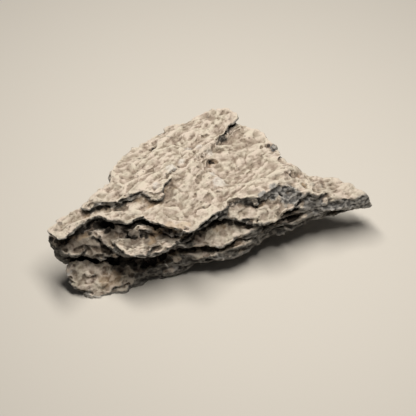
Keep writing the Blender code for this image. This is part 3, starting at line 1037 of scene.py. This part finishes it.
class Graph:
    """Adds nodes to one material and joins them."""

    def __init__(self, name):
        self.material = bpy.data.materials.new(name)
        self.material.use_nodes = True
        self.tree = self.material.node_tree
        self.shader = self.tree.nodes["Principled BSDF"]
        self.place = self.add("ShaderNodeTexCoord", {}).outputs["Object"]

    def put(self, socket, value):
        if isinstance(value, bpy.types.NodeSocket):
            self.tree.links.new(value, socket)
        else:
            socket.default_value = value

    def finish(self, name, value):
        """Sets an input of the surface itself."""
        self.put(self.shader.inputs[name], value)

    def add(self, kind, inputs, **settings):
        node = self.tree.nodes.new(kind)
        for key, value in settings.items():
            setattr(node, key, value)
        for key, value in inputs.items():
            self.put(node.inputs[key], value)
        return node

    def kept(self, name):
        """A value that was kept on the mesh."""
        return self.add("ShaderNodeAttribute", {}, attribute_name=name).outputs["Fac"]

    def noise(self, scale, detail, roughness=0.6, distortion=0.0):
        """Soft noise with so many lumps in a metre, for each axis or for all."""
        place = self.place
        if isinstance(scale, tuple):
            inputs = {0: place, 1: scale}
            place = self.add("ShaderNodeVectorMath", inputs, operation="MULTIPLY").outputs[0]
            scale = 1
        inputs = {"Vector": place, "Scale": scale, "Detail": detail}
        inputs |= {"Roughness": roughness, "Distortion": distortion}
        return self.add("ShaderNodeTexNoise", inputs).outputs["Fac"]

    def cells(self, scale):
        """The distance to the nearest of scattered points."""
        inputs = {"Vector": self.place, "Scale": scale}
        return self.add("ShaderNodeTexVoronoi", inputs).outputs["Distance"]

    def ramp(self, value, low, high, floor=0.0, top=1.0):
        inputs = {"Value": value, "From Min": low, "From Max": high}
        inputs |= {"To Min": floor, "To Max": top}
        return self.add("ShaderNodeMapRange", inputs, interpolation_type="SMOOTHSTEP").outputs[0]

    def math(self, operation, first, *others):
        """One operation on all the values, from left to right."""
        for other in others:
            node = self.add("ShaderNodeMath", {0: first, 1: other}, operation=operation)
            first = node.outputs[0]
        return first

    def mix(self, share, first, second, blend="MIX"):
        inputs = {0: share, 6: first, 7: second}
        settings = {"data_type": "RGBA", "blend_type": blend}
        return self.add("ShaderNodeMix", inputs, **settings).outputs[2]


# %% [markdown]
# ### The crust on the tops
#
# Sun and rain have bleached the tops to a warm pale grey. Ridges are paler and hollows hold a
# browner grey, partly as wear and dirt and partly as painted highlight and painted shade, and
# tiny pores are darker still. Every few millimetres the grey leans to rose or to olive.

# %% Crust
PALE_CRUST = from_screen(224, 212, 197)
WARM_GREY = from_screen(166, 151, 136)
BROWN_GREY = from_screen(108, 94, 81)
ROSE_TINT = (1.0, 0.968, 0.96, 1.0)
OLIVE_TINT = (0.965, 0.98, 0.94, 1.0)
# lumps or cells in a metre
BLOTCHES, SPECKS, TINTS = 190, 520, 210
PORES, PORE_AREAS = 420, 120


def crust_colour(graph):
    blotches = graph.noise(BLOTCHES, 5, 0.62, 0.6)
    # lighter on ridges and swells, darker in hollows: partly wear, partly painted highlight and
    # painted shade
    ridges = graph.ramp(graph.kept("ridge"), -0.22, 0.22, -0.12, 0.12)
    swells = graph.ramp(graph.kept("swell"), -0.45, 0.45, -0.25, 0.25)
    pale = graph.math("ADD", blotches, ridges, swells)
    crust = graph.mix(graph.ramp(pale, 0.25, 0.8), WARM_GREY, PALE_CRUST)
    specks = graph.noise(SPECKS, 4, 0.65)
    # brown specks, kept off the pale ridges: dirt, and in the hollows partly painted shade
    dirt_and_shade = graph.math("SUBTRACT", graph.ramp(specks, 0.3, 0.75), graph.ramp(pale, 0.1, 0.65))
    crust = graph.mix(graph.ramp(dirt_and_shade, -0.1, 0.8, 0.0, 0.8), crust, BROWN_GREY)
    pores = graph.ramp(graph.cells(PORES), 0.12, 0.3, 0.6, 0.0)
    areas = graph.ramp(graph.noise(PORE_AREAS, 2), 0.52, 0.64)
    crust = graph.mix(graph.math("MULTIPLY", pores, areas), crust, BROWN_GREY)
    tints = graph.ramp(graph.noise(TINTS, 3), 0.35, 0.65)
    return graph.mix(1.0, crust, graph.mix(tints, ROSE_TINT, OLIVE_TINT), "MULTIPLY")


# %% [markdown]
# ### Bare stone on the sides
#
# Under the crust the limestone is a darker neutral grey. Its beds show as thin streaks,
# made by a noise with far more lumps along its height. Thin white veins of calcite cross
# the beds. A fresh break is a lighter grey, and blotched rather than streaked.

# %% Sides and fresh breaks
SIDE_LIGHT = from_screen(142, 138, 131)
SIDE_DARK = from_screen(74, 71, 67)
FRESH_LIGHT = from_screen(176, 172, 166)
FRESH_DARK = from_screen(94, 92, 90)
CALCITE = from_screen(228, 224, 218)
# lumps in a metre, along x, y and z or along all
STREAKS, VEINS = (160, 160, 1000), (34, 34, 50)
VEIN_AREAS, FRESH_BLOTCHES = 60, 420


def vein_share(graph):
    """Thin lines, where a soft noise passes its middle value."""
    soft = graph.noise(VEINS, 3, 0.45)
    off_middle = graph.math("ABSOLUTE", graph.math("SUBTRACT", soft, 0.5), 0.0)
    lines = graph.ramp(off_middle, 0.004, 0.016, 0.75, 0.0)
    areas = graph.ramp(graph.noise(VEIN_AREAS, 3), 0.44, 0.52)
    return graph.math("MULTIPLY", lines, areas)


def side_colour(graph, sky_view):
    streaks = graph.noise(STREAKS, 4, 0.65)
    # lighter on ridges, darker in furrows: partly wear, partly painted highlight and painted shade
    ridges = graph.ramp(graph.kept("ridge"), -0.25, 0.25, -0.25, 0.25)
    # sides that see little sky are darker: partly bleaching, partly painted shade under overhangs
    light = graph.math("ADD", streaks, ridges, graph.ramp(sky_view, 0.0, 0.6, -0.15, 0.1))
    side = graph.mix(graph.ramp(light, 0.2, 0.85), SIDE_DARK, SIDE_LIGHT)
    return graph.mix(vein_share(graph), side, CALCITE)


def fresh_colour(graph):
    blotches = graph.noise(FRESH_BLOTCHES, 5, 0.7)
    # lighter on ridges, darker in furrows: partly wear, partly painted highlight and painted shade
    ridges = graph.ramp(graph.kept("ridge"), -0.22, 0.22, -0.3, 0.3)
    light = graph.math("ADD", blotches, ridges)
    return graph.mix(graph.ramp(light, 0.2, 0.85), FRESH_DARK, FRESH_LIGHT)


# %% [markdown]
# ### Stains, soil, veins and painted shade in clefts
#
# A noise gives the drawn patches ragged borders. Soil also gathers where the stone is
# sheltered but faces up. Last comes painted shade: the more sheltered a point is, the nearer
# it is to black. Crusted ledges count as less sheltered, so that less shade is painted there.

# %% The whole material
# brown stain colour, which also serves as painted shade under the lips and in pits
STAIN_AND_SHADE = from_screen(80, 69, 59)
SOIL = from_screen(184, 156, 122)
# painted shade: the near-black painted into sheltered clefts and slots
CLEFT_SHADE = from_screen(13, 11, 9)
# lumps in a metre
PATCH_BORDER, CRUST_BORDER, SOIL_AREAS, ROUGH_SPOTS, GRAINS = 260, 230, 70, 640, 950
# how much less shade is painted on the crusted ledges
LESS_SHELTER = 0.25
SHINE = 0.3
BUMP_STRENGTH, BUMP_DEPTH = 0.8, 0.5 * MM


def patch_share(graph, kind, most):
    """Where a drawn patch shows, with a ragged border."""
    ragged = graph.ramp(graph.noise(PATCH_BORDER, 4, 0.65), 0.25, 0.75, -0.4, 0.4)
    return graph.ramp(graph.math("ADD", graph.kept(kind), ragged), 0.25, 0.75, 0.0, most)


def crust_share(graph, sky_view, facing):
    """The crust lies where the sky is open, on what faces up, and on some ledges, where it is also
    painted light.
    """
    ragged = graph.ramp(graph.noise(CRUST_BORDER, 4, 0.6), 0.3, 0.7, -0.15, 0.15)
    tops = graph.ramp(facing, 0.0, 0.85, 0.0, 0.7)
    bleached = graph.math("ADD", graph.math("MULTIPLY", sky_view, 0.5), ragged, tops)
    # painted light: crust on ledges that lie in shade
    ledges = patch_share(graph, "crust_and_light", 0.8)
    return graph.math("MAXIMUM", graph.ramp(bleached, 0.45, 0.85), ledges)


def soil_share(graph, shelter, facing):
    areas = graph.ramp(graph.noise(SOIL_AREAS, 3, 0.6), 0.52, 0.62)
    hidden = graph.ramp(shelter, 0.12, 0.35, 0.0, 0.45)
    return graph.math("MULTIPLY", areas, hidden, graph.ramp(facing, 0.2, 0.7))


def stone_colour(graph):
    sky_view, facing = graph.kept("sky_view"), graph.kept("facing")
    # painted light: less shade is painted on the crusted ledges
    ledge_light = graph.math("MULTIPLY", graph.kept("crust_and_light"), LESS_SHELTER)
    shelter = graph.math("SUBTRACT", graph.kept("shelter"), ledge_light)
    veins = patch_share(graph, "calcite", 0.5)
    ridges = graph.ramp(graph.kept("ridge"), -0.2, 0.1, 0.3, 1.0)
    # painted shade: black in slots and gaps
    slot_shade = patch_share(graph, "black_shade", 0.85)
    layers = [
        (crust_share(graph, sky_view, facing), crust_colour(graph)),
        (patch_share(graph, "fresh", 1.0), fresh_colour(graph)),
        # stains, and painted shade under the lips and in pits
        (patch_share(graph, "stain_and_shade", 0.65), STAIN_AND_SHADE),
        (soil_share(graph, shelter, facing), SOIL),
        (patch_share(graph, "tan", 0.4), SOIL),
        (graph.math("MULTIPLY", veins, ridges), CALCITE),
        # painted shade: sheltered clefts and black slots darken towards black
        (graph.math("MAXIMUM", graph.ramp(shelter, 0.38, 0.8), slot_shade), CLEFT_SHADE),
    ]
    colour = side_colour(graph, sky_view)
    for share, layer in layers:
        colour = graph.mix(share, colour, layer)
    return colour


def stone_material():
    graph = Graph("seiryu_stone")
    graph.finish("Base Color", stone_colour(graph))
    rough = graph.noise(ROUGH_SPOTS, 4, 0.7)
    graph.finish("Roughness", graph.ramp(rough, 0.0, 1.0, 0.78, 0.94))
    graph.finish("Specular IOR Level", SHINE)
    pores = graph.math("MULTIPLY", graph.ramp(graph.cells(PORES), 0.1, 0.35), 0.5)
    height = graph.math("ADD", graph.noise(GRAINS, 6, 0.72), pores)
    inputs = {"Height": height, "Strength": BUMP_STRENGTH, "Distance": BUMP_DEPTH}
    graph.finish("Normal", graph.add("ShaderNodeBump", inputs).outputs["Normal"])
    return graph.material


fine.materials.clear()
fine.materials.append(stone_material())
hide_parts("stone")
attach(stone, "root")
print("material:", len(fine.materials[0].node_tree.nodes), "nodes")

# %% [markdown]
# ## Floor
#
# A plain pale floor carries the stone and its shadow. It isn't part of the object.

# %% Pale floor
FLOOR_SIZE = 4.0
FLOOR_COLOUR = from_screen(222, 216, 206)
FLOOR_ROUGHNESS = 0.9

floor_mesh = bmesh.new()
bmesh.ops.create_grid(floor_mesh, x_segments=1, y_segments=1, size=FLOOR_SIZE / 2)
floor = in_scene("floor", as_mesh(floor_mesh, "floor"))
paint = Graph("pale_floor")
paint.finish("Base Color", FLOOR_COLOUR)
paint.finish("Roughness", FLOOR_ROUGHNESS)
floor.data.materials.append(paint.material)
print("floor:", FLOOR_SIZE, "m square")
